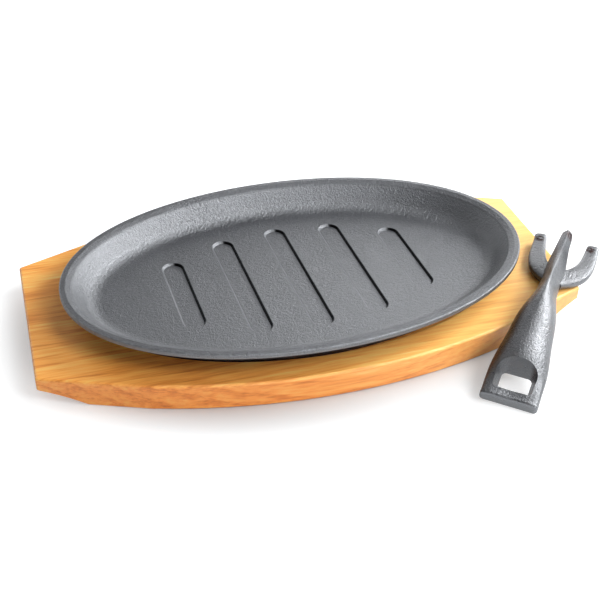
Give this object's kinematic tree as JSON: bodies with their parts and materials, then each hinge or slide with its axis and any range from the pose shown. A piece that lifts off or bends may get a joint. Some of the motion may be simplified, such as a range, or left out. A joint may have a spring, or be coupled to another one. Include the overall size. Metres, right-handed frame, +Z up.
{
  "type": "sizzle platter",
  "caption": "Oval cast iron sizzle platter with a shallow grooved floor, seated in a shaped wooden underboard, with a loose forked iron gripper leaning on the board's corner.",
  "frame": {"origin": "centre of the wooden board's underside, on the table plane", "axes": "+X along the board's long axis, towards the end where the gripper lies; +Y away from the viewer of the picture, across the board; +Z up"},
  "size_m": [0.3422, 0.2233, 0.0351],
  "materials": {
    "board_wood": "satin varnish over straight honey-coloured grain",
    "platter_iron": "seasoned sand-cast skin, satin with fine grain",
    "gripper_iron": "seasoned sand-cast skin, satin with fine grain"
  },
  "bodies": {
    "root": {"board": "board_wood", "platter": "platter_iron", "gripper": "gripper_iron"}
  },
  "joints": []
}
